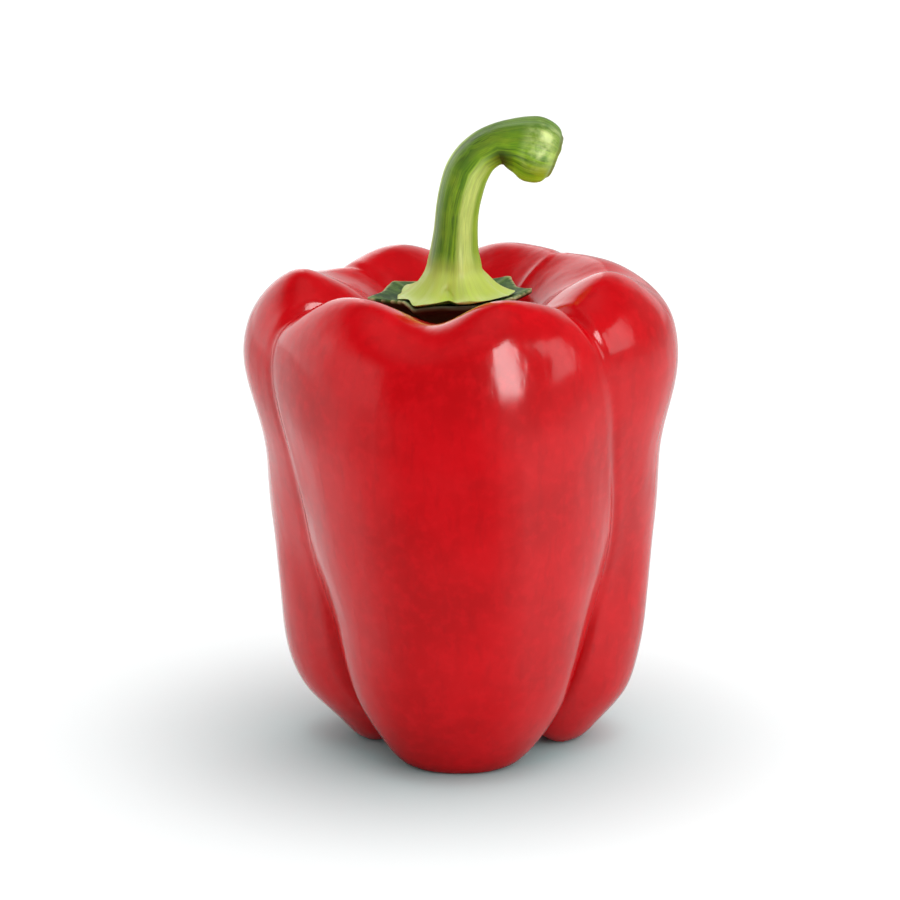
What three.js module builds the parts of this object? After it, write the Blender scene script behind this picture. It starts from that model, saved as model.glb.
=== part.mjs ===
// A ripe red bell pepper standing on its lobes, with its green calyx and its cut stem.
// Millimetres, +Z up. The origin is on the ground under the middle of the pepper, and the widest
// lobe faces -Y. Bearings are degrees round the pepper, from 0 at -Y through 90 at +X.
import * as THREE from "three";

// The pod.
const DIMPLE_HEIGHT = 9; // middle of the blossom end, over the ground
const HOLLOW_FLOOR = 84; // middle of the hollow that the stem grows from
const REST_FLAT = 1.4; // depth of the flat that each lobe's tip rests on
const SPAN_RINGS = 3; // rings of the mesh in each span of a profile

// Each lobe's crest line: how far it reaches from the axis at its foot, belly, waist, shoulder and
// crest, the height where its shoulder is full, the heights of the two bumps of its crest, and the
// dip between them.
const LOBES = [
  // The front lobe.
  {
    columns: 24,
    foot: 21.5, belly: 38.2, waist: 42.6, shoulder: 43, full: 72,
    crest: 31, bumps: [96.6, 98.5], dip: 5.5,
  },
  // The right lobe.
  {
    columns: 20,
    foot: 21, belly: 37.8, waist: 39, shoulder: 43, full: 79,
    crest: 31, bumps: [100, 96.6], dip: 2.5,
  },
  // The back lobe.
  {
    columns: 20,
    foot: 21, belly: 36, waist: 40, shoulder: 42.5, full: 77,
    crest: 30, bumps: [96.8, 97.2], dip: 3.5,
  },
  // The left lobe.
  {
    columns: 16,
    foot: 18, belly: 37, waist: 38.5, shoulder: 43.8, full: 79,
    crest: 32.5, bumps: [93.8, 98.6], dip: 0.6,
  },
];

// The groove before each lobe, going round: its bearing at the base and at the shoulder, how far its
// belly and its shoulder lie from the axis, and its height where it crosses the crest.
const GROOVES = [
  { base: -58, shoulder: -72, belly: 31, shoulderReach: 40, pass: 91 },
  { base: 54, shoulder: 48, belly: 31, shoulderReach: 38.5, pass: 91.5 },
  { base: 140, shoulder: 135, belly: 30, shoulderReach: 38, pass: 96 },
  { base: 222, shoulder: 233, belly: 30, shoulderReach: 38, pass: 93.5 },
];

// The calyx: a thin toothed dish in the hollow. Its reach is measured from its own middle.
const CALYX_MIDDLE = { x: -2, y: -0.8 };
const CALYX_FLOOR = 90.2; // height of the dish's middle
const CALYX_DEPTH = 1.9; // rise from there to the rim
const CALYX_EDGE = 0.9; // thickness at the rim
const TOOTH_COLUMNS = 12;
// Each tooth's bearing and reach, the height of its ridge over the dish, and the reach of the notch
// that follows it.
const CALYX_TEETH = [
  { bearing: -40, reach: 11.8, rise: -0.9, notch: 10.8 },
  { bearing: 20, reach: 11.6, rise: 0.2, notch: 10.8 },
  { bearing: 60, reach: 13.4, rise: 0.9, notch: 12.6 },
  { bearing: 97, reach: 15.9, rise: 0.7, notch: 14.4 },
  { bearing: 137, reach: 16.7, rise: 0.9, notch: 12.2 },
  { bearing: 184, reach: 14.8, rise: 0.5, notch: 13.3 },
  { bearing: 232, reach: 14.8, rise: 0.6, notch: 13.9 },
  { bearing: 284, reach: 17.2, rise: 0.3, notch: 11.3 },
];

// The stem: a ribbed stalk that stands on a flare and bends over to a swollen cut end.
const STEM_Y = -0.8;
const STALK = [
  { x: -1.5, z: 97.5, radius: 5.6 },
  { x: -1.45, z: 101, radius: 4.85 },
  { x: -1.2, z: 105, radius: 4.4 },
  { x: -0.9, z: 109, radius: 4.3 },
  { x: -0.15, z: 113, radius: 4.35 },
  { x: 1.15, z: 117, radius: 4.35 },
  { x: 3.6, z: 120.3, radius: 4.1 },
  { x: 6.9, z: 122.1, radius: 4.2 },
  { x: 10.3, z: 122.1, radius: 5.3 },
  { x: 13.3, z: 121.4, radius: 6.4 },
  { x: 15.9, z: 120.5, radius: 6.2 },
  { x: 17.5, z: 119.9, radius: 5.3 },
  { x: 18.5, z: 119.5, radius: 3.7 },
];
const STALK_RINGS = 26;
const RIBS = 6;
const RIB_SHARE = 0.045; // height of a rib as a share of the radius
const STEM_COLUMNS = 42;
// The flare's rings, from the middle of its underside up to the stalk: their lift and their reach.
const FLARE = [
  { lift: 0, reach: 0 },
  { lift: 0, reach: 5 },
  { lift: 0, reach: 10.9 },
  { lift: 0.5, reach: 10.9 },
  { lift: 1.4, reach: 9.6 },
  { lift: 2.8, reach: 8.1 },
  { lift: 4.8, reach: 6.6 },
];
const FLARE_NOTCH = { bearing: -8.6, width: 8, cut: 2, lift: 0.8 }; // the nick in its front edge
const GAP = 0.3; // clear space between two pieces that lie on each other

const rad = THREE.MathUtils.degToRad;
const lerp = THREE.MathUtils.lerp;
const smooth = (x, low, high) => THREE.MathUtils.smoothstep(x, low, high);

// A ball's mesh with every vertex moved to place(column, ring), ring 0 being the top pole.
function shapedBall(columns, rings, place) {
  const ball = new THREE.SphereGeometry(1, columns, rings);
  const position = ball.getAttribute("position");
  for (let i = 0; i < position.count; i++) {
    const [x, y, z] = place((i % (columns + 1)) % columns, Math.floor(i / (columns + 1)));
    position.setXYZ(i, x, y, z);
  }
  ball.computeVertexNormals();
  return ball;
}

// The pod's profiles: a lobe's crest line and a groove's line, from the middle of the base to the
// middle of the hollow.
function crestLine({ foot, belly, waist, shoulder, full, crest, bumps }) {
  const top = Math.max(...bumps);
  return profile([
    [0, DIMPLE_HEIGHT],
    [foot * 0.5, 5],
    [foot, -REST_FLAT],
    [foot + 8.5, 6],
    [belly * 0.94, 17.5],
    [belly, 32],
    [lerp(belly, waist, 0.7), 47],
    [lerp(waist, shoulder, 0.15), 62],
    [shoulder, full],
    [shoulder * 0.93, lerp(full, top, 0.62)],
    [crest, top],
    [crest * 0.68, top - 4.5],
    [crest * 0.38, HOLLOW_FLOOR + 2],
    [0, HOLLOW_FLOOR],
  ]);
}

function grooveLine({ belly, shoulderReach, pass }) {
  return profile([
    [0, DIMPLE_HEIGHT],
    [belly * 0.24, 9.5],
    [belly * 0.5, 11],
    [belly * 0.72, 16],
    [belly * 0.88, 25],
    [belly, 36],
    [lerp(belly, shoulderReach, 0.4), 49],
    [lerp(belly, shoulderReach, 0.75), 62],
    [shoulderReach, 77],
    [shoulderReach * 0.95, 86.5],
    [shoulderReach * 0.74, pass],
    [shoulderReach * 0.5, lerp(HOLLOW_FLOOR, pass, 0.75)],
    [shoulderReach * 0.29, HOLLOW_FLOOR + 2],
    [0, HOLLOW_FLOOR],
  ]);
}

function profile(points) {
  return new THREE.SplineCurve(points.map(([reach, height]) => new THREE.Vector2(reach, height)));
}

// How far a lobe stands out of its grooves at a share across it, from -1 to 1: a round valley where
// the grooves are shallow, a crease where they cut deep.
function swell(across, crease) {
  const valley = Math.cos((Math.PI / 2) * Math.abs(across) ** 1.6) ** 2;
  const round = Math.max(0, 1 - Math.abs(across) ** 2.3) ** 0.55;
  return lerp(valley, round, crease);
}

const spans = 13;
const podRings = spans * SPAN_RINGS;
const podColumns = LOBES.reduce((sum, lobe) => sum + lobe.columns, 0);
const crestLines = LOBES.map(crestLine);
const grooveLines = GROOVES.map(grooveLine);

function grooveBearing(i, rise) {
  const turns = Math.floor(i / GROOVES.length);
  const { base, shoulder } = GROOVES[i % GROOVES.length];
  return 360 * turns + lerp(base, shoulder, smooth(rise, 0.4, 0.7));
}

// A point of the pod's skin: lobe number, share across that lobe from -1 to 1, and share of the way
// up its profile from the middle of the base to the middle of the hollow.
function podSkin(lobe, across, rise) {
  const low = grooveBearing(lobe, rise);
  const high = grooveBearing(lobe + 1, rise);
  const bearing = rad(lerp(low, high, (across + 1) / 2));
  const crest = crestLines[lobe].getPoint(rise);
  const groove = grooveLines[(across < 0 ? lobe : lobe + 1) % GROOVES.length].getPoint(rise);
  const crease = 1 - 0.75 * smooth(rise, 0.22, 0.42) + 0.35 * smooth(rise, 0.62, 0.8);
  const out = swell(across, crease);
  const reach = lerp(groove.x, crest.x, out);
  const { bumps, dip } = LOBES[lobe];
  const onCrest = smooth(rise, 0.64, 0.77) * (1 - smooth(rise, 0.77, 0.92));
  const lower = Math.max(...bumps) - lerp(...bumps, smooth(across, -0.7, 0.7));
  const fall = lower * out + dip * Math.exp(-((across / 0.3) ** 2));
  const height = lerp(groove.y, crest.y, out) - onCrest * fall;
  return [reach * Math.sin(bearing), -reach * Math.cos(bearing), Math.max(0, height)];
}

function podGeometry() {
  return shapedBall(podColumns, podRings, (column, ring) => {
    let lobe = 0;
    while (column >= LOBES[lobe].columns) column -= LOBES[lobe++].columns;
    const even = (2 * column) / LOBES[lobe].columns - 1;
    const packed = -Math.cos((Math.PI * column) / LOBES[lobe].columns);
    return podSkin(lobe, lerp(even, packed, 0.45), 1 - ring / podRings);
  });
}

// The tooth nearest to a bearing, the notch beside it, and the share of the way from there to its tip.
function toothAt(bearing) {
  const first = CALYX_TEETH[0].bearing;
  const turned = first + THREE.MathUtils.euclideanModulo(bearing - first, 360);
  let i = CALYX_TEETH.length - 1;
  while (CALYX_TEETH[i].bearing > turned) i--;
  const t = (turned - CALYX_TEETH[i].bearing) / (nextTooth(i).bearing - CALYX_TEETH[i].bearing);
  const { reach, rise } = t < 0.5 ? CALYX_TEETH[i] : nextTooth(i);
  return { reach, rise, notch: CALYX_TEETH[i].notch, share: Math.abs(1 - 2 * t) };
}

function nextTooth(i) {
  if (i + 1 < CALYX_TEETH.length) return CALYX_TEETH[i + 1];
  return { ...CALYX_TEETH[0], bearing: CALYX_TEETH[0].bearing + 360 };
}

function calyxReach(bearing) {
  const { reach, notch, share } = toothAt(bearing);
  return lerp(notch, reach, share ** 1.5);
}

// The height of the calyx's upper face at a bearing and a share of the way out to its rim.
function calyxTop(bearing, share) {
  const tooth = toothAt(bearing);
  const ridge = tooth.rise * tooth.share ** 1.5;
  return CALYX_FLOOR + CALYX_DEPTH * share ** 2.2 + ridge * share;
}

function calyxGeometry() {
  const upper = 7;
  const lower = 6;
  const rings = upper + lower + 1;
  return shapedBall(CALYX_TEETH.length * TOOTH_COLUMNS, rings, (column, ring) => {
    const i = Math.floor(column / TOOTH_COLUMNS);
    const onward = (column % TOOTH_COLUMNS) / TOOTH_COLUMNS;
    const bearing = lerp(CALYX_TEETH[i].bearing, nextTooth(i).bearing, onward);
    const share = ring <= upper ? ring / upper : (rings - ring) / lower;
    const top = calyxTop(bearing, share);
    // The underside lies on the hollow's floor in the middle and thins out towards the rim.
    const seat = HOLLOW_FLOOR + 2 * GAP + 2.6 * share;
    const under = lerp(seat, top - CALYX_EDGE, smooth(share, 0.45, 0.95));
    const reach = calyxReach(bearing) * share;
    return [
      CALYX_MIDDLE.x + reach * Math.sin(rad(bearing)),
      CALYX_MIDDLE.y - reach * Math.cos(rad(bearing)),
      ring <= upper ? top : under,
    ];
  });
}

// The stem's flare: a point of it at a bearing, following the calyx that it lies on.
function flarePoint(bearing, { lift, reach }) {
  const edge = smooth(reach, 6, 10);
  const off = THREE.MathUtils.euclideanModulo(bearing - FLARE_NOTCH.bearing + 180, 360) - 180;
  const nick = edge * Math.exp(-((off / FLARE_NOTCH.width) ** 2));
  const toe = lerp(-0.05, 0.07, toothAt(bearing).share);
  const spread = reach * (1 + toe * edge) - FLARE_NOTCH.cut * nick;
  const x = STALK[0].x + spread * Math.sin(rad(bearing));
  const y = STEM_Y - spread * Math.cos(rad(bearing));
  const fromMiddle = new THREE.Vector2(x - CALYX_MIDDLE.x, y - CALYX_MIDDLE.y);
  const around = THREE.MathUtils.radToDeg(Math.atan2(fromMiddle.x, -fromMiddle.y));
  const share = fromMiddle.length() / calyxReach(around);
  return [x, y, calyxTop(around, share) + GAP + 0.1 + lift + FLARE_NOTCH.lift * nick];
}

function stemGeometry() {
  const middle = new THREE.CatmullRomCurve3(
    STALK.map(({ x, z }) => new THREE.Vector3(x, STEM_Y, z)),
  );
  const radii = profile(STALK.map(({ radius }, i) => [i, radius]));
  const rings = FLARE.length + STALK_RINGS;
  return shapedBall(STEM_COLUMNS, rings, (column, ring) => {
    const bearing = (360 * column) / STEM_COLUMNS;
    const up = rings - ring;
    if (up < FLARE.length) return flarePoint(bearing, FLARE[up]);
    const along = Math.min(1, (up - FLARE.length) / (STALK_RINGS - 1));
    const tangent = middle.getTangent(along);
    const side = new THREE.Vector3(0, 1, 0).cross(tangent).normalize();
    const back = tangent.clone().cross(side);
    const rib = 1 + RIB_SHARE * Math.cos(rad(RIBS * (bearing - 70)));
    const radius = up === rings ? 0 : radii.getPoint(along).y * rib;
    return middle
      .getPoint(along)
      .addScaledVector(side, radius * Math.sin(rad(bearing)))
      .addScaledVector(back, -radius * Math.cos(rad(bearing)))
      .toArray();
  });
}

const red = new THREE.MeshStandardMaterial({ color: 0xc8101c, roughness: 0.25, metalness: 0 });
const leafGreen = new THREE.MeshStandardMaterial({ color: 0x3f6b35, roughness: 0.6, metalness: 0 });
const stalkGreen = new THREE.MeshStandardMaterial({ color: 0x86ab2e, roughness: 0.5, metalness: 0 });

const pepper = new THREE.Group();
for (const [name, geometry, material] of [
  ["pod", podGeometry(), red],
  ["calyx", calyxGeometry(), leafGreen],
  ["stem", stemGeometry(), stalkGreen],
]) {
  const piece = new THREE.Mesh(geometry, material);
  piece.name = name;
  pepper.add(piece);
}

// The origin goes to the middle of the bottom of the pepper's box.
const box = new THREE.Box3().setFromObject(pepper);
const middle = box.getCenter(new THREE.Vector3());
for (const piece of pepper.children) piece.geometry.translate(-middle.x, -middle.y, -box.min.z);

export default pepper;
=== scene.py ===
import math

import bpy
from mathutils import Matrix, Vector, noise


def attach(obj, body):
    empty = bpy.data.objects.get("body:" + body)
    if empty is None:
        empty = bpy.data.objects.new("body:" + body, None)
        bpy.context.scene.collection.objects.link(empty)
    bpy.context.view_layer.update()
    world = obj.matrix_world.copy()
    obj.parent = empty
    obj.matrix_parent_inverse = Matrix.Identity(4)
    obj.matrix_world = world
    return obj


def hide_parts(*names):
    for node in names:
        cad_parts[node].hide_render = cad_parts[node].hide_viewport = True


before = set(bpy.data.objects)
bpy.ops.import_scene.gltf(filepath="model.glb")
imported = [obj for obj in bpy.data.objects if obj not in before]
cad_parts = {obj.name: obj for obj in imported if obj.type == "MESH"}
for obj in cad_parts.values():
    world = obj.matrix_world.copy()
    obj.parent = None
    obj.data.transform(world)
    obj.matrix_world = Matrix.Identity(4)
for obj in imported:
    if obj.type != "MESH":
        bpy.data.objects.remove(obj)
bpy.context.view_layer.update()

MM = 0.001

# The photograph's view: its size and the pixels per metre at the pepper's middle.
PHOTO_SIZE = 900
PIXELS_PER_METRE = 5000
AXIS_COLUMN = 460.5
MIDDLE_HEIGHT = 60 * MM
CAMERA_DISTANCE = 0.9
CAMERA_RISE = math.radians(15)
SENSOR = 36.0

# The stem's middle line, from its foot to past its cut end, as (x, z) in millimetres.
STEM_Y = -0.47 * MM
STEM_LINE = [
    (-1.16, 88.0),
    (-1.16, 97.5),
    (-1.11, 101.0),
    (-0.86, 105.0),
    (-0.56, 109.0),
    (0.19, 113.0),
    (1.49, 117.0),
    (3.94, 120.3),
    (7.24, 122.1),
    (10.64, 122.1),
    (13.64, 121.4),
    (16.24, 120.5),
    (18.84, 119.5),
    (21.5, 118.5),
]

# Where the grooves beside the front lobe wind round: bearing, height and spread of each turn in
# degrees and millimetres, and the degrees it turns by.
GROOVE_TURNS = [
    (-60, 41, 10, -6.8),
    (-62, 62, 10, 2.6),
    (-58, 9, 9, 3.5),
    (54, 41, 18, 8.8),
    (46, 92, 10, -4.0),
]
GROOVE_SPREAD = 36  # degrees to either side over which a turn fades
# Places by the crest that rise or sink: x, y, spread and lift in millimetres.
CREST_LIFTS = [
    (-29, -18, 10, 1.4),
    (-26, -8, 7, -1.3),
    (24, -26, 8, 1.8),
]
CREST_FROM = (78, 88)  # the heights between which those lifts set in
# Where the side lobes swell: height, spread and swelling, and how far to the side that sets in.
SWELLINGS = [
    (52, 12, 0.6, 25, 36),
    (10, 6, 1.1, 18, 30),
]

# Shapes.
SMOOTHING = 2  # levels of subdivision
UNDULATION = 0.4 * MM  # how deep the skin's faint unevenness goes
UNEVEN_FROM = (0.3, 8)  # heights in millimetres between which that sets in, over the flat feet
SCAR_MIDDLE = (0, 0, 8.5 * MM)  # the blossom scar, in the dimple under the pepper
SCAR_EDGE = (3.2 * MM, 2.0 * MM)  # how far out its colour starts and where it is full
CALYX_MIDDLE = Vector((-1.66 * MM, -0.47 * MM))
CALYX_TEETH = [-40, 20, 60, 97, 137, 184, 232, 284]  # bearings from the front, towards the right
CALYX_SECTORS = 90  # how finely its outline is read, all round
CALYX_FRONT = 55  # degrees to either side of the front where the hollow shades its rim
CALYX_LIP = (8 * MM, 9 * MM)  # how far out that shade sets in
VEIN_WIDTH = 0.9 * MM

# Places along the stem in grain units, from its foot. A pair gives the middle and the reach to either
# side of it.
GRAIN_UNIT = 4 * MM
BEND = (8.3, 1.9)
PINCH_AT = 9.25  # under the bend
PINCH_SPREAD = 0.35
PINCH_SHADE = (9.45, 1.0)
KNOB = (11.3, 1.2)
CUT_AT = 12.2
CUT_RIM = 0.14
# How deep the dents between the stem's ribs and its pinch go, in millimetres.
RIB_DEPTH = 0.25
PINCH_DEPTH = 0.3
# Directions round the stem, in degrees from its outer side, of a painted highlight and two pale ridges.
HIGHLIGHT_AND_PALE_RIDGES = [-115, 20, 130]
FOOT_REACH = 8.5 * MM  # the stem's foot is pale at its edge, from this far out
FOOT_TOP = 97 * MM

# The sheet that the pepper stands on, and the light.
FLOOR_SIZE = 12
PAINTED_SHADOW_WHITE = 0.88  # the sheet's white beside the pepper, darkened there as painted shadow
PAINTED_SHADOW_FADE = (40 * MM, 90 * MM)  # where that painted shadow starts to fade and where the sheet is fully white
RED_LIGHT = 12.2 * MM  # how far the pepper's red light reaches on the sheet
RED_MOST = 0.4  # the most red that the sheet lacks because of it
SIDE_LIGHT = (0.25, 1.27)  # the tent's soft light from the left and from the right
TOP_LIGHT = 1.55  # what it adds straight above
CARD_HEIGHT = 0.4 * MM
CARD_FADE = (40 * MM, 200 * MM)  # it hides the sheet in part up to the first and wholly from the second
CARD_NEAR = 0.7  # how much of the sheet it hides up to the first
CARD_DISTANT = (0.2, 1.3)  # metres between which it thins the sheet more and more on the right
LAMP_DISTANCE = 0.9


def deselect_all():
    if bpy.context.mode != "OBJECT":
        bpy.ops.object.mode_set(mode="OBJECT")
    bpy.ops.object.select_all(action="DESELECT")


def pick(piece):
    deselect_all()
    piece.select_set(True)
    bpy.context.view_layer.objects.active = piece


def finer_copy(node, name):
    """A copy of a CAD node with its loose triangles joined into a smooth, finer mesh."""
    pick(bpy.data.objects[node])
    bpy.ops.object.duplicate()
    piece = bpy.context.view_layer.objects.active
    piece.name = name
    piece.data.name = name
    bpy.ops.object.mode_set(mode="EDIT")
    bpy.ops.mesh.select_all(action="SELECT")
    bpy.ops.mesh.remove_doubles(threshold=0.002 * MM)
    bpy.ops.mesh.tris_convert_to_quads()
    bpy.ops.object.mode_set(mode="OBJECT")
    offset_shrinkage(piece)
    smoothing = piece.modifiers.new("smoothing", "SUBSURF")
    smoothing.levels = SMOOTHING
    bpy.ops.object.modifier_apply(modifier=smoothing.name)
    bpy.ops.object.shade_smooth()
    return piece


def offset_shrinkage(piece, rounds=3):
    """Moves the vertices so that the smoothed mesh passes through the places they have now."""
    goals = [vertex.co.copy() for vertex in piece.data.vertices]
    smoothing = piece.modifiers.new("trial", "SUBSURF")
    smoothing.levels = SMOOTHING
    for _ in range(rounds):
        bpy.context.view_layer.update()
        trial = piece.evaluated_get(bpy.context.evaluated_depsgraph_get())
        smoothed = [vertex.co.copy() for vertex in trial.data.vertices[: len(goals)]]
        for vertex, goal, place in zip(piece.data.vertices, goals, smoothed):
            vertex.co += goal - place
        piece.data.update()
    piece.modifiers.remove(smoothing)


def keep_in_box(piece, box):
    """Pulls vertices that lie outside a box back to its faces."""
    low, high = box
    for vertex in piece.data.vertices:
        vertex.co = Vector(min(max(c, a), b) for c, a, b in zip(vertex.co, low, high))


def node_box(node):
    places = [vertex.co for vertex in bpy.data.objects[node].data.vertices]
    return [[pick_end(place[i] for place in places) for i in range(3)] for pick_end in (min, max)]


def finish_piece(piece, node, material):
    keep_in_box(piece, node_box(node))
    piece.data.materials.clear()
    piece.data.materials.append(material)
    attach(piece, "root")
    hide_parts(node)


def smoothstep(x, low, high):
    t = min(1, max(0, (x - low) / (high - low)))
    return t * t * (3 - 2 * t)


def bell(off, spread):
    """1 in the middle, falling off evenly to either side."""
    return math.exp(-((off / spread) ** 2))


class Nodes:
    """The nodes of one material or of the world."""

    def __init__(self, tree):
        self.tree = tree

    def add(self, kind, settings=(), inputs=()):
        node = self.tree.nodes.new(kind)
        for key, value in dict(settings).items():
            setattr(node, key, value)
        for key, value in dict(inputs).items():
            if isinstance(value, bpy.types.NodeSocket):
                self.tree.links.new(value, node.inputs[key])
            else:
                node.inputs[key].default_value = value
        return node

    def place(self):
        """The place on the piece itself, in metres."""
        return self.add("ShaderNodeTexCoord").outputs["Object"]

    def attribute(self, name, output="Fac"):
        return self.add("ShaderNodeAttribute", {"attribute_name": name}).outputs[output]

    def noise(self, vector, scale, detail=2, roughness=0.5):
        values = {"Vector": vector, "Scale": scale, "Detail": detail, "Roughness": roughness}
        return self.add("ShaderNodeTexNoise", inputs=values).outputs["Fac"]

    def stretched(self, vector, scale):
        return self.add("ShaderNodeMapping", inputs={"Vector": vector, "Scale": scale}).outputs[0]

    def math(self, operation, a, b=0.0):
        node = self.add("ShaderNodeMath", {"operation": operation})
        for socket, value in zip(node.inputs, (a, b)):
            if isinstance(value, bpy.types.NodeSocket):
                self.tree.links.new(value, socket)
            else:
                socket.default_value = value
        return node.outputs[0]

    def product(self, first, *others):
        for other in others:
            first = self.math("MULTIPLY", first, other)
        return first

    def distance(self, vector, point):
        node = self.add("ShaderNodeVectorMath", {"operation": "DISTANCE"})
        self.tree.links.new(vector, node.inputs[0])
        node.inputs[1].default_value = point
        return node.outputs["Value"]

    def span(self, value, low, high, to_low=0.0, to_high=1.0, shape="SMOOTHSTEP"):
        inputs = {"Value": value, "From Min": low, "From Max": high, "To Min": to_low, "To Max": to_high}
        return self.add("ShaderNodeMapRange", {"interpolation_type": shape}, inputs).outputs[0]

    def axes(self, vector):
        split = self.add("ShaderNodeSeparateXYZ", inputs={"Vector": vector})
        return [split.outputs[i] for i in range(3)]

    def bearing(self, x, y):
        """Degrees from the front, towards the right."""
        return self.product(self.math("ARCTAN2", x, self.product(y, -1)), math.degrees(1))

    def near(self, value, middle, width):
        """1 at the middle, falling to 0 at the width on either side of it."""
        off = self.math("ABSOLUTE", self.math("SUBTRACT", value, middle))
        return self.span(off, width, 0.0)

    def blend(self, factor, a, b):
        """The colour a, turning into b as the factor goes from 0 to 1."""
        node = self.add("ShaderNodeMix", {"data_type": "RGBA"})
        for key, value in (("Factor_Float", factor), ("A_Color", a), ("B_Color", b)):
            socket = next(s for s in node.inputs if s.identifier == key)
            if isinstance(value, bpy.types.NodeSocket):
                self.tree.links.new(value, socket)
            else:
                socket.default_value = value
        return next(s for s in node.outputs if s.identifier == "Result_Color")

    def bump(self, height, distance, strength=1.0, normal=None):
        inputs = {"Height": height, "Distance": distance, "Strength": strength}
        if normal:
            inputs["Normal"] = normal
        return self.add("ShaderNodeBump", inputs=inputs).outputs[0]


def rgb(red, green, blue):
    return (red, green, blue, 1.0)


def new_material(name, **values):
    material = bpy.data.materials.new(name)
    material.use_nodes = True
    nodes = Nodes(material.node_tree)
    shader = material.node_tree.nodes["Principled BSDF"]
    for key, value in values.items():
        shader.inputs[key.replace("_", " ")].default_value = value
    return material, nodes, shader


def red_skin():
    """Waxy red skin: mottled colour, lengthwise waves in its gloss, and a corky blossom scar."""
    material, nodes, shader = new_material(
        "red_skin",
        Roughness=0.15,
        IOR=1.45,
        Subsurface_Weight=0.05,
        Subsurface_Scale=0.004,
    )
    place = nodes.place()
    clouds = nodes.noise(place, 60, 3)
    mottle = nodes.noise(place, 420, 3, 0.6)
    lengthwise = nodes.stretched(place, (1.0, 1.0, 0.3))
    streaks = nodes.noise(lengthwise, 500, 3, 0.6)
    ripples = nodes.noise(lengthwise, 130, 2, 0.5)

    colour = nodes.blend(nodes.span(clouds, 0.3, 0.7), rgb(0.49, 0.0005, 0.003), rgb(0.61, 0.001, 0.005))
    colour = nodes.blend(nodes.span(mottle, 0.42, 0.7, 0.0, 0.45), colour, rgb(0.68, 0.003, 0.008))
    colour = nodes.blend(nodes.span(streaks, 0.5, 0.72, 0.0, 0.35), colour, rgb(0.42, 0.0005, 0.003))
    uneven = nodes.product(nodes.math("SUBTRACT", mottle, 0.5), 3 * MM)
    scar = nodes.math("ADD", nodes.distance(place, SCAR_MIDDLE), uneven)
    colour = nodes.blend(nodes.span(scar, *SCAR_EDGE), colour, rgb(0.2, 0.1, 0.035))
    nodes.tree.links.new(colour, shader.inputs["Base Color"])

    waves = nodes.bump(ripples, 0.45 * MM, 0.6)
    fine = nodes.bump(streaks, 0.06 * MM, 0.6, waves)
    nodes.tree.links.new(fine, shader.inputs["Normal"])
    return material


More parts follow.
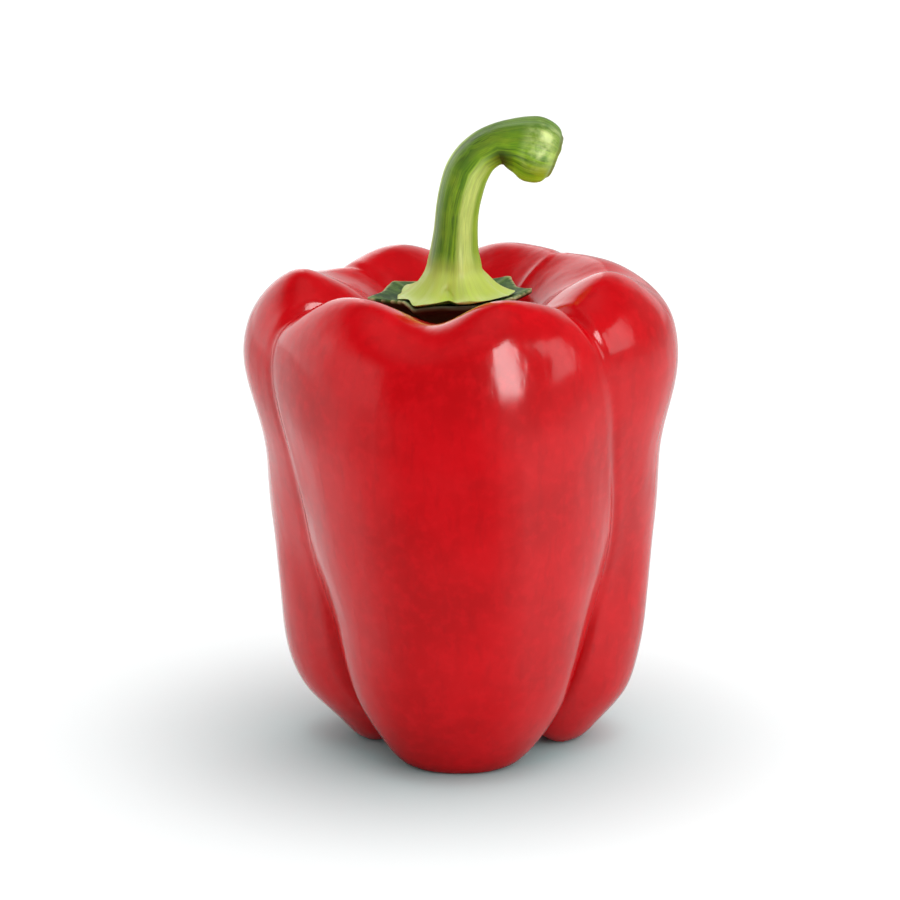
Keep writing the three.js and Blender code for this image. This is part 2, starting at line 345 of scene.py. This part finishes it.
def stalk_green():
    """Fibrous green stalk: streaks, pale ridges, a pale foot, a dry cut end, and painted shade and
    highlights.
    """
    material, nodes, shader = new_material(
        "stalk_green",
        Roughness=0.42,
        IOR=1.38,
        Subsurface_Weight=0.1,
        Subsurface_Scale=0.003,
    )
    place = nodes.place()
    grain = nodes.attribute("grain", "Vector")
    outer, side, along = nodes.axes(grain)
    fibres = nodes.noise(nodes.stretched(grain, (1, 1, 0.03)), 7, 3, 0.6)
    fine_fibres = nodes.noise(nodes.stretched(grain, (1, 1, 0.05)), 20, 3, 0.6)
    patches = nodes.noise(nodes.stretched(grain, (1, 1, 0.5)), 1.6, 2)
    mottle = nodes.noise(place, 320, 3, 0.55)

    # Streaks all over, with painted shade darkening the outer side and painted light paling the inner one.
    colour = nodes.blend(nodes.span(fibres, 0.35, 0.68), rgb(0.1, 0.25, 0.003), rgb(0.27, 0.48, 0.006))
    colour = nodes.blend(nodes.span(patches, 0.45, 0.75, 0.0, 0.5), colour, rgb(0.4, 0.55, 0.012))
    colour = nodes.blend(nodes.span(fine_fibres, 0.52, 0.66, 0.0, 0.6), colour, rgb(0.035, 0.085, 0.002))
    colour = nodes.blend(nodes.span(outer, 0.1, 0.8, 0.0, 0.6), colour, rgb(0.075, 0.16, 0.004))
    inner = nodes.product(towards(nodes, outer, side, 180, 0.45, 0.95), 0.6)
    colour = nodes.blend(inner, colour, rgb(0.4, 0.6, 0.03))

    # Dark streaks on top of the bend.
    dark_streaks = nodes.span(fine_fibres, 0.56, 0.42, 0.0, 0.8)
    bend = nodes.product(nodes.near(along, *BEND), nodes.span(outer, 0.1, 0.7), dark_streaks)
    colour = nodes.blend(bend, colour, rgb(0.015, 0.035, 0.002))

    # Pale strips between the foot and the bend: a painted highlight on the front, turned to the right, and
    # two pale ridges.
    upright = nodes.product(nodes.span(along, 1.6, 2.6), nodes.span(along, 9.4, 7.0))
    broken_by_fibres = nodes.span(fine_fibres, 0.3, 0.6, 1.0, 0.7)
    for degrees in HIGHLIGHT_AND_PALE_RIDGES:
        pale_strip = nodes.product(upright, towards(nodes, outer, side, degrees, 0.87, 0.985), broken_by_fibres)
        colour = nodes.blend(pale_strip, colour, rgb(0.66, 0.82, 0.2))

    # A painted highlight on the knob, pale and mottled on its front.
    lit = towards(nodes, outer, side, -62, 0.3, 1.0)
    knob_highlight = nodes.product(nodes.near(along, *KNOB), nodes.span(mottle, 0.3, 0.7), lit, 0.92)
    colour = nodes.blend(knob_highlight, colour, rgb(0.76, 0.88, 0.3))

    # The foot and its dry edge.
    colour = nodes.blend(nodes.span(along, 3.4, 2.0, 0.0, 0.7), colour, rgb(0.66, 0.77, 0.14))
    low = nodes.span(nodes.axes(place)[2], FOOT_TOP, FOOT_TOP - 2 * MM)
    outward = nodes.span(axis_distance(nodes, place), FOOT_REACH, 1.3 * FOOT_REACH)
    edge = nodes.product(low, outward, nodes.span(mottle, 0.35, 0.6, 0.15, 0.85))
    colour = nodes.blend(edge, colour, rgb(0.6, 0.68, 0.24))

    # Painted shade in the pinch under the bend, and the cut end with its rim.
    shade_under_bend = nodes.product(nodes.span(outer, 0.3, -0.4), nodes.span(mottle, 0.3, 0.55, 0.5, 1.0))
    pinch = nodes.product(nodes.near(along, *PINCH_SHADE), shade_under_bend, 0.95)
    colour = nodes.blend(pinch, colour, rgb(0.018, 0.04, 0.002))
    colour = nodes.blend(nodes.span(along, CUT_AT, CUT_AT + 0.25, 0.0, 0.9), colour, cut_face(nodes, mottle))
    rim = nodes.product(nodes.near(along, CUT_AT, CUT_RIM), 0.55)
    colour = nodes.blend(rim, colour, rgb(0.13, 0.11, 0.02))
    nodes.tree.links.new(colour, shader.inputs["Base Color"])

    ridges = nodes.bump(fibres, 0.22 * MM, 0.6)
    fine = nodes.bump(fine_fibres, 0.08 * MM, 0.6, ridges)
    nodes.tree.links.new(fine, shader.inputs["Normal"])
    return material


def towards(nodes, outer, side, degrees, low, high):
    """1 on the part of the stem that faces a direction round it, from its outer side."""
    angle = math.radians(degrees)
    share = nodes.product(outer, math.cos(angle))
    share = nodes.math("ADD", share, nodes.product(side, math.sin(angle)))
    return nodes.span(share, low, high)


def axis_distance(nodes, place):
    """How far a place is from the upright line through the stem's foot."""
    flat = nodes.add("ShaderNodeVectorMath", {"operation": "MULTIPLY"}, {"Vector": place})
    flat.inputs[1].default_value = (1, 1, 0)
    return nodes.distance(flat.outputs["Vector"], (STEM_LINE[0][0] * MM, STEM_Y, 0))


def cut_face(nodes, mottle):
    """The dry, pithy face where the stem was cut."""
    return nodes.blend(nodes.span(mottle, 0.35, 0.65), rgb(0.3, 0.36, 0.08), rgb(0.46, 0.44, 0.17))


def calyx_green():
    """Dark green leafy dish with veins, paler towards its rim, and painted shade under its front lip and
    where it faces down.
    """
    material, nodes, shader = new_material("calyx_green", Roughness=0.55, IOR=1.35)
    place = nodes.place()
    vein = nodes.attribute("vein")
    patches = nodes.noise(place, 300, 3, 0.6)
    fine = nodes.noise(place, 1400, 2, 0.6)
    colour = nodes.blend(nodes.span(patches, 0.35, 0.65), rgb(0.02, 0.07, 0.008), rgb(0.09, 0.18, 0.025))
    colour = nodes.blend(nodes.product(vein, 0.55), colour, rgb(0.2, 0.3, 0.08))
    uneven = nodes.product(nodes.math("SUBTRACT", patches, 0.5), 0.12)
    edge = nodes.math("ADD", nodes.attribute("rim"), uneven)
    colour = nodes.blend(nodes.span(edge, 0.93, 1.0, 0.0, 0.85), colour, rgb(0.5, 0.48, 0.22))
    # Painted shade under the front lip and where the calyx faces down.
    colour = nodes.blend(nodes.product(nodes.attribute("shaded"), 0.92), colour, rgb(0.03, 0.022, 0.006))
    nodes.tree.links.new(colour, shader.inputs["Base Color"])
    wrinkles = nodes.bump(patches, 0.3 * MM, 0.6, nodes.bump(vein, 0.3 * MM, 0.7))
    nodes.tree.links.new(nodes.bump(fine, 0.06 * MM, 0.6, wrinkles), shader.inputs["Normal"])
    return material


# The pieces.
def wound(place):
    """Where a place on the skin goes, in millimetres, as its grooves wind and its side lobes swell."""
    reach = math.hypot(place.x, place.y)
    bearing = math.degrees(math.atan2(place.x, -place.y))
    for groove, height, spread, degrees in GROOVE_TURNS:
        bearing += degrees * bell(place.z - height, spread) * bell(bearing - groove, GROOVE_SPREAD)
    lift = sum(
        rise * bell(math.hypot(place.x - x, place.y - y), spread) for x, y, spread, rise in CREST_LIFTS
    )
    aside = sum(
        swelling * bell(place.z - height, spread) * smoothstep(abs(place.x), inner, outer)
        for height, spread, swelling, inner, outer in SWELLINGS
    )
    angle = math.radians(bearing)
    return Vector((
        reach * math.sin(angle) + math.copysign(aside, place.x),
        -reach * math.cos(angle),
        place.z + lift * smoothstep(place.z, *CREST_FROM),
    ))


def pod():
    piece = finer_copy("pod", "pod_skin")
    for vertex in piece.data.vertices:
        vertex.co = wound(vertex.co / MM) * MM
    piece.data.update()
    normals = [vertex.normal.copy() for vertex in piece.data.vertices]
    for vertex, normal in zip(piece.data.vertices, normals):
        place = vertex.co / MM
        slow = unevenness(place, across=17, up=30)
        quick = unevenness(place, across=7, up=16, shift=40)
        inward = UNDULATION * max(0, 0.3 - 0.5 * slow - 0.2 * quick)
        vertex.co -= normal * inward * smoothstep(place.z, *UNEVEN_FROM)
    finish_piece(piece, "pod", red_skin())


def unevenness(place, across, up, shift=0):
    """A smooth, uneven value for each place, which changes over these lengths in millimetres."""
    return noise.noise(Vector((place.x / across, place.y / across, place.z / up + shift)))


def stem_frames(steps=12):
    """Points along the stem's middle line, each with its direction and its distance along."""
    frames = []
    travelled = 0
    line = [Vector((x * MM, STEM_Y, z * MM)) for x, z in STEM_LINE]
    for start, end in zip(line, line[1:]):
        for step in range(steps):
            frames.append((start.lerp(end, step / steps), (end - start).normalized(), travelled))
            travelled += (end - start).length / steps
    return frames


def grain_of(piece):
    """Straightens the stem: stores each vertex's direction round it and its distance along it."""
    frames = stem_frames()
    grain = piece.data.attributes.new("grain", "FLOAT_VECTOR", "POINT")
    values = []
    for vertex in piece.data.vertices:
        centre, along, distance = min(frames, key=lambda f: (vertex.co - f[0]).length_squared)
        off = vertex.co - centre
        across = Vector((0, 1, 0))
        up = along.cross(across)
        angle = math.atan2(off.dot(across), off.dot(up))
        distance += off.dot(along)
        values.append((math.cos(angle), math.sin(angle), distance / GRAIN_UNIT))
    for item, value in zip(grain.data, values):
        item.vector = value
    return values


def stem():
    piece = finer_copy("stem", "stalk")
    values = grain_of(piece)
    normals = [vertex.normal.copy() for vertex in piece.data.vertices]
    for vertex, normal, (cosine, sine, along) in zip(piece.data.vertices, normals, values):
        rib = noise.noise(Vector((cosine * 2.2, sine * 2.2, along * 0.07)))
        pinch = bell(along - PINCH_AT, PINCH_SPREAD) * smoothstep(-cosine, 0.1, 0.8)
        vertex.co -= normal * MM * (RIB_DEPTH * max(0, 0.4 - rib) + PINCH_DEPTH * pinch)
    finish_piece(piece, "stem", stalk_green())


def calyx():
    piece = finer_copy("calyx", "calyx_leaf")
    offs = [Vector(vertex.co.xy) - CALYX_MIDDLE for vertex in piece.data.vertices]
    downs = [-vertex.normal.z for vertex in piece.data.vertices]
    outline = [0.0] * CALYX_SECTORS
    for off in offs:
        sector = sector_of(off)
        outline[sector] = max(outline[sector], off.length)
    store(piece, "rim", [off.length / outline[sector_of(off)] for off in offs])
    store(piece, "vein", [smoothstep(-vein_distance(off), -VEIN_WIDTH, 0) for off in offs])
    store(piece, "shaded", [calyx_shade(off, down) for off, down in zip(offs, downs)])
    finish_piece(piece, "calyx", calyx_green())


def store(piece, name, values):
    """Keeps a value with each vertex, which the piece's material reads."""
    attribute = piece.data.attributes.new(name, "FLOAT", "POINT")
    for item, value in zip(attribute.data, values):
        item.value = value


def sector_of(off):
    """Which of the calyx's sectors a place lies in."""
    return int(CALYX_SECTORS * (math.atan2(off.y, off.x) / math.tau + 0.5)) % CALYX_SECTORS


def calyx_shade(off, down):
    """How much painted shade the calyx gets under its front lip and where it faces down."""
    front = abs(math.degrees(math.atan2(off.x, -off.y)))
    lip = smoothstep(-front, -CALYX_FRONT, 0.6 * -CALYX_FRONT) * smoothstep(off.length, *CALYX_LIP)
    return max(lip, smoothstep(down, 0.1, 0.6))


def vein_distance(off):
    """How far a place on the calyx lies from the nearest line out to a tooth's tip."""
    lines = [Vector((math.sin(math.radians(t)), -math.cos(math.radians(t)))) for t in CALYX_TEETH]
    return min(abs(off.cross(line)) for line in lines if off.dot(line) >= 0)


# The floor, the light and the camera.
def flat_sheet(name, height, material):
    """A wide level sheet, centred on the pepper."""
    deselect_all()
    bpy.ops.mesh.primitive_plane_add(size=FLOOR_SIZE, location=(0, 0, height))
    sheet = bpy.context.view_layer.objects.active
    sheet.name = name
    sheet.data.materials.append(material)
    return sheet


def floor():
    """The white sheet, with painted shadow as a darker white near the pepper and less red there, so that its
    red light leaves the shadow grey.
    """
    material, nodes, shader = new_material("white_sheet", Roughness=0.9)
    away = nodes.distance(nodes.place(), (0, 0, 0))
    shadowed_white = nodes.span(away, *PAINTED_SHADOW_FADE, PAINTED_SHADOW_WHITE, 1.0)
    red_light = nodes.math("POWER", nodes.math("DIVIDE", RED_LIGHT, away), 1.5)
    red_light = nodes.math("MINIMUM", red_light, RED_MOST)
    red = nodes.product(shadowed_white, nodes.math("SUBTRACT", 1.0, red_light))
    colour = nodes.add("ShaderNodeCombineColor", inputs={"Red": red, "Green": shadowed_white, "Blue": shadowed_white})
    nodes.tree.links.new(colour.outputs["Color"], shader.inputs["Base Color"])
    sheet = flat_sheet("floor", 0, material)


def tent():
    """A white tent with its open side to the front, brighter on the right and straight above."""
    world = bpy.data.worlds.new("tent")
    world.use_nodes = True
    bpy.context.scene.world = world
    nodes = Nodes(world.node_tree)
    sky = world.node_tree.nodes["Background"]
    x, y, z = nodes.axes(nodes.add("ShaderNodeTexCoord").outputs["Generated"])
    mirrored = tent_walls(nodes, nodes.bearing(x, y), z)
    above = nodes.span(z, 0.85, 0.97, 0.0, TOP_LIGHT)
    soft = nodes.math("ADD", nodes.span(x, -1.0, 0.5, *SIDE_LIGHT, "LINEAR"), above)
    path = nodes.add("ShaderNodeLightPath")
    gloss = path.outputs["Is Glossy Ray"]
    rest = nodes.math("SUBTRACT", 1.0, gloss)
    lit = nodes.math("ADD", nodes.product(gloss, mirrored), nodes.product(rest, soft))
    # The background itself shows as plain white.
    seen = path.outputs["Is Camera Ray"]
    strength = nodes.math("ADD", nodes.product(nodes.math("SUBTRACT", 1.0, seen), lit), seen)
    nodes.tree.links.new(strength, sky.inputs["Strength"])
    sky.inputs["Color"].default_value = rgb(1, 1, 1)


def tent_walls(nodes, bearing, z):
    """How bright the tent is where the pepper's gloss mirrors it, by bearing and height."""
    # The left wall has two steps, the right one is faint and the back one bright.
    left = nodes.span(bearing, -38, -56, 0.0, 0.95)
    left = nodes.math("ADD", left, nodes.span(bearing, -80, -100, 0.0, 0.8))
    right = nodes.span(bearing, 40, 130, 0.0, 0.28)
    back = nodes.span(nodes.math("ABSOLUTE", bearing), 120, 150, 0.0, 0.85)
    walls = nodes.math("MAXIMUM", nodes.math("ADD", left, right), back)
    walls = nodes.product(walls, nodes.span(z, 0.85, 0.45))
    skirt = nodes.product(nodes.span(bearing, 15, 75), nodes.span(z, 0.4, -0.05, 0.0, 0.38))
    ceiling = nodes.span(z, 0.9, 1.0, 0.012, 0.09)
    return nodes.math("MAXIMUM", nodes.math("MAXIMUM", walls, skirt), ceiling)


def black_card():
    """A dark card just over the sheet, which only gloss picks up."""
    material, nodes, shader = new_material("black_card", Roughness=1.0, Specular_IOR_Level=0.0)
    shader.inputs["Base Color"].default_value = rgb(0.0, 0.0, 0.0)
    place = nodes.place()
    x, y, _ = nodes.axes(place)
    bearing = nodes.bearing(x, y)
    away = nodes.distance(place, (0, 0, 0))
    fade = nodes.span(away, *CARD_FADE, CARD_NEAR, 1.0, "LINEAR")
    front = nodes.product(fade, nodes.span(bearing, -85, -20), nodes.span(bearing, 62, 8))
    # On the right it thins the sheet's white towards the tent wall's, so no edge shows far off there.
    right = nodes.product(nodes.span(away, *CARD_DISTANT, 0.25, 0.62), nodes.span(bearing, 0, 30))
    nodes.tree.links.new(nodes.math("MAXIMUM", front, right), shader.inputs["Alpha"])
    card = flat_sheet("black_card", CARD_HEIGHT, material)
    card.visible_camera = False
    card.visible_diffuse = False
    card.visible_transmission = False
    card.visible_shadow = False
    card.visible_volume_scatter = False


def soft_box(name, bearing, rise, width, height, radiance):
    """A rectangular lamp, at a bearing from the front and a rise in degrees, which only gloss picks up."""
    bearing = math.radians(bearing)
    rise = math.radians(rise)
    out = Vector((math.sin(bearing) * math.cos(rise), -math.cos(bearing) * math.cos(rise), math.sin(rise)))
    deselect_all()
    bpy.ops.object.light_add(type="AREA", location=Vector((0, 0, MIDDLE_HEIGHT)) + out * LAMP_DISTANCE)
    lamp = bpy.context.view_layer.objects.active
    lamp.name = name
    lamp.rotation_euler = out.to_track_quat("Z", "Y").to_euler()
    lamp.data.shape = "RECTANGLE"
    lamp.data.size = width
    lamp.data.size_y = height
    lamp.data.energy = radiance * math.pi * width * height
    lamp.visible_camera = False
    lamp.visible_diffuse = False


def camera():
    target = Vector(((PHOTO_SIZE / 2 - AXIS_COLUMN) / PIXELS_PER_METRE, 0, MIDDLE_HEIGHT))
    back = Vector((0, -math.cos(CAMERA_RISE), math.sin(CAMERA_RISE))) * CAMERA_DISTANCE
    deselect_all()
    bpy.ops.object.camera_add(location=target + back, rotation=(math.pi / 2 - CAMERA_RISE, 0, 0))
    eye = bpy.context.view_layer.objects.active
    eye.name = "camera"
    eye.data.sensor_width = SENSOR
    eye.data.lens = SENSOR * CAMERA_DISTANCE * PIXELS_PER_METRE / PHOTO_SIZE
    bpy.context.scene.camera = eye


camera()
pod()
calyx()
stem()
floor()
tent()
black_card()
soft_box("window", bearing=34, rise=30, width=0.27, height=0.8, radiance=11)
soft_box("side_window", bearing=74, rise=25, width=0.3, height=0.6, radiance=2.2)
bpy.context.scene.view_settings.view_transform = "Standard"
